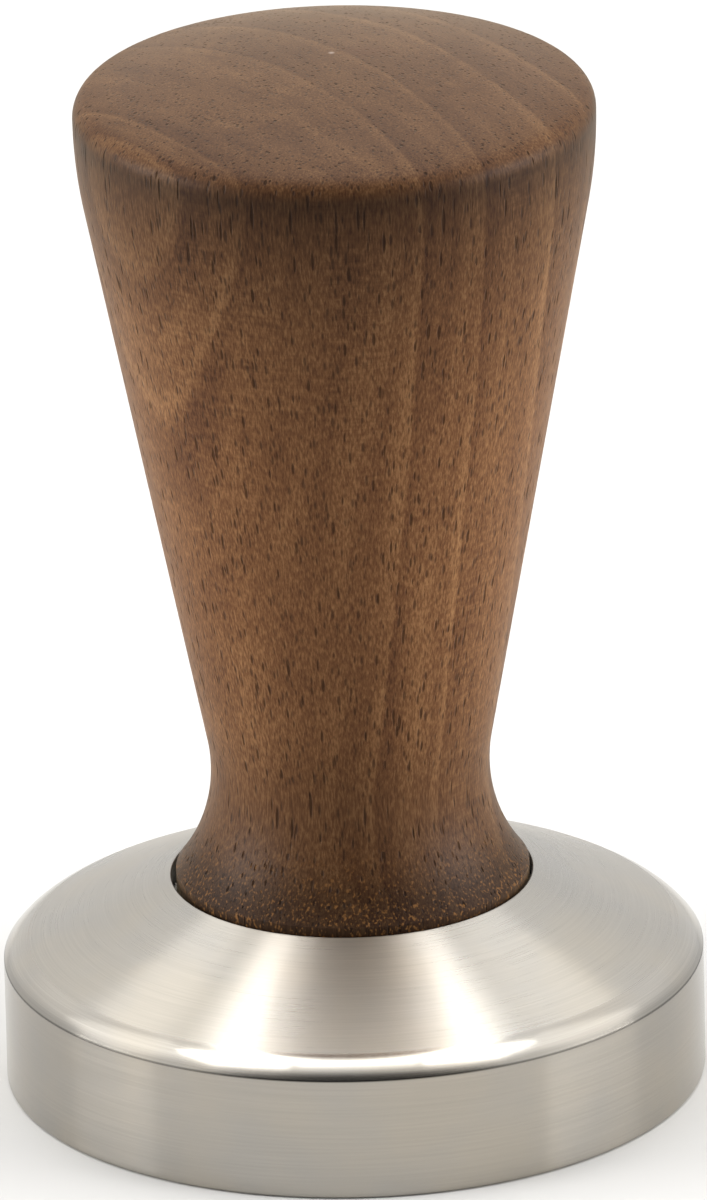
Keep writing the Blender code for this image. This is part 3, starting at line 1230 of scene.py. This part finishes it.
# the room, the floor and the lights
studio = {
    "floorSize": 30.0,
    "floorColour": "#c0bfbd",
    "floorMottle": "#bab9b7",
    # brightness of the room by direction; the reaches are y or z of a direction of length 1
    "frontGrey": 0.03,
    "frontLow": 0.2,  # down by the floor on that side
    "frontLowReach": (0.5, 0.2),
    "frontReach": (-0.5, -0.28),
    "backWhite": 0.95,
    "ceilingWhite": 1.15,
    "ceilingReach": (0.3, 0.6),
    "sideWhite": 1.35,
    "sideReach": (0.5, 0.2),
    # place and size in metres; radiance 1 is paper white
    "softboxes": {
        "overhead": {"place": (0, 0.2, 1.04), "size": (0.66, 0.6), "radiance": 3.4},
        "overLeft": {"place": (-0.43, -0.05, 1.04), "size": (0.38, 0.38), "radiance": 6.0},
        "overRight": {"place": (0.43, -0.05, 1.04), "size": (0.38, 0.38), "radiance": 5.6},
        "overFront": {"place": (0, -0.14, 1.04), "size": (0.4, 0.1), "radiance": 3.0},
        "highLeft": {
            "place": (-0.78, 0.24, 0.86),
            "size": (0.6, 0.6),
            "radiance": 0.5,
            "aimed": True,
        },
        "highRight": {
            "place": (0.78, 0.18, 0.86),
            "size": (0.6, 0.6),
            "radiance": 0.4,
            "aimed": True,
        },
        "left": {
            "place": (-1.0, -0.1, 0.22),
            "size": (0.6, 0.34),
            "radiance": 19.0,
            "aimed": True,
        },
        "right": {
            "place": (1.0, -0.15, 0.22),
            "size": (0.7, 0.34),
            "radiance": 18.0,
            "aimed": True,
        },
    },
}


def softbox(name, values):
    light = bpy.data.lights.new(name, "AREA")
    light.shape = "RECTANGLE"
    light.size, light.size_y = values["size"]
    light.energy = values["radiance"] * math.pi * light.size * light.size_y
    box = bpy.data.objects.new(name, light)
    bpy.context.scene.collection.objects.link(box)
    box.location = values["place"]
    if values.get("aimed"):
        # turned to face the middle of the tamper; the others hang level
        aim = Vector((0, 0, 0.04)) - Vector(values["place"])
        box.rotation_euler = aim.to_track_quat("-Z", "Y").to_euler()
    box.visible_camera = False


def paleSweep(values):
    # painted board, rolled: matt and almost white, with a trace of roller texture
    material, tree = newMaterial("paleSweep")
    objectCoords = addNode(tree, "TexCoord").outputs["Object"]
    mottle = addNode(tree, "TexNoise", {"Vector": objectCoords, "Scale": 6.0, "Detail": 3.0})
    share = addNode(tree, "MapRange", {"Value": mottle.outputs[0], "To Min": 0.985, "To Max": 1.0})
    colour = addNode(
        tree,
        "Mix",
        {0: share.outputs[0], 6: values["floorMottle"], 7: values["floorColour"]},
        data_type="RGBA",
    )
    shader = addNode(
        tree,
        "BsdfPrincipled",
        {"Base Color": colour.outputs[2], "Roughness": 0.9, "Specular IOR Level": 0.1},
    )
    closeMaterial(tree, shader)
    return material


def makeStudio(values):
    work = bmesh.new()
    bmesh.ops.create_grid(work, x_segments=2, y_segments=2, size=values["floorSize"] / 2)
    mesh = bpy.data.meshes.new("floor")
    work.to_mesh(mesh)
    work.free()
    mesh.materials.append(paleSweep(values))
    floor = bpy.data.objects.new("floor", mesh)
    bpy.context.scene.collection.objects.link(floor)

    # the room is bright behind the tamper and dim on the camera's side; seen directly it is white
    world = bpy.data.worlds.new("studioRoom")
    bpy.context.scene.world = world
    world.use_nodes = True
    tree = world.node_tree
    tree.nodes.clear()
    heading = addNode(tree, "TexCoord").outputs["Generated"]
    split = addNode(tree, "SeparateXYZ", {0: heading})
    lowFront = addNode(
        tree,
        "MapRange",
        {
            "Value": split.outputs[2],
            "From Min": values["frontLowReach"][0],
            "From Max": values["frontLowReach"][1],
            "To Min": values["frontGrey"],
            "To Max": values["frontLow"],
        },
    )
    glow = addNode(
        tree,
        "MapRange",
        {
            "Value": split.outputs[1],
            "From Min": values["frontReach"][0],
            "From Max": values["frontReach"][1],
            "To Min": lowFront.outputs[0],
            "To Max": 1.0,
        },
        interpolation_type="SMOOTHSTEP",
    )
    upwards = addNode(
        tree,
        "MapRange",
        {
            "Value": split.outputs[2],
            "From Min": values["ceilingReach"][0],
            "From Max": values["ceilingReach"][1],
        },
        interpolation_type="SMOOTHSTEP",
    )
    # the ceiling is brightest over the two sides and falls off towards the back
    sideways = addNode(
        tree,
        "MapRange",
        {
            "Value": split.outputs[1],
            "From Min": values["sideReach"][0],
            "From Max": values["sideReach"][1],
            "To Min": values["ceilingWhite"] - values["backWhite"],
            "To Max": values["sideWhite"] - values["backWhite"],
        },
        interpolation_type="SMOOTHSTEP",
    )
    room = addNode(
        tree,
        "Math",
        {0: upwards.outputs[0], 1: sideways.outputs[0], 2: values["backWhite"]},
        operation="MULTIPLY_ADD",
    )
    glow = addNode(tree, "Math", {0: glow.outputs[0], 1: room.outputs[0]}, operation="MULTIPLY")
    room = addNode(tree, "Background", {"Color": "#ffffff", "Strength": glow.outputs[0]})
    seen = addNode(tree, "Background", {"Color": "#ffffff", "Strength": 1.0})
    path = addNode(tree, "LightPath")
    both = addNode(
        tree,
        "MixShader",
        {0: path.outputs["Is Camera Ray"], 1: room.outputs[0], 2: seen.outputs[0]},
    )
    addNode(tree, "OutputWorld", {"Surface": both.outputs[0]})
    for name, settings in values["softboxes"].items():
        softbox(name, settings)
    bpy.context.scene.view_settings.view_transform = "Standard"
    print("studio made")


cameraSet = {
    "distance": 2.0,
    "elevation": 21.236,
    "aimHeight": 0.045,
    "lens": 722.0,
    "roll": -1.423,
    "shift": (0.00782, -0.03023),
}


def makeCamera(values):
    camera = bpy.data.objects.new("camera", bpy.data.cameras.new("camera"))
    bpy.context.scene.collection.objects.link(camera)
    camera.data.lens = values["lens"]
    camera.data.sensor_width = 36
    camera.data.shift_x, camera.data.shift_y = values["shift"]
    camera.data.clip_end = 100
    up = math.radians(values["elevation"])
    back = Vector((0, -math.cos(up), math.sin(up)))
    camera.location = Vector((0, 0, values["aimHeight"])) + back * values["distance"]
    roll = Matrix.Rotation(math.radians(values["roll"]), 3, "Z")
    turn = (-back).to_track_quat("-Z", "Y").to_matrix() @ roll
    camera.rotation_euler = turn.to_euler()
    bpy.context.scene.camera = camera
    print("camera made")


makeBase(steelBase)
makeScrew(setScrew)
makeRing(rubberRing)
dressInsert(brassInsert)
makeHandle(walnutHandle)
makeStudio(studio)
makeCamera(cameraSet)
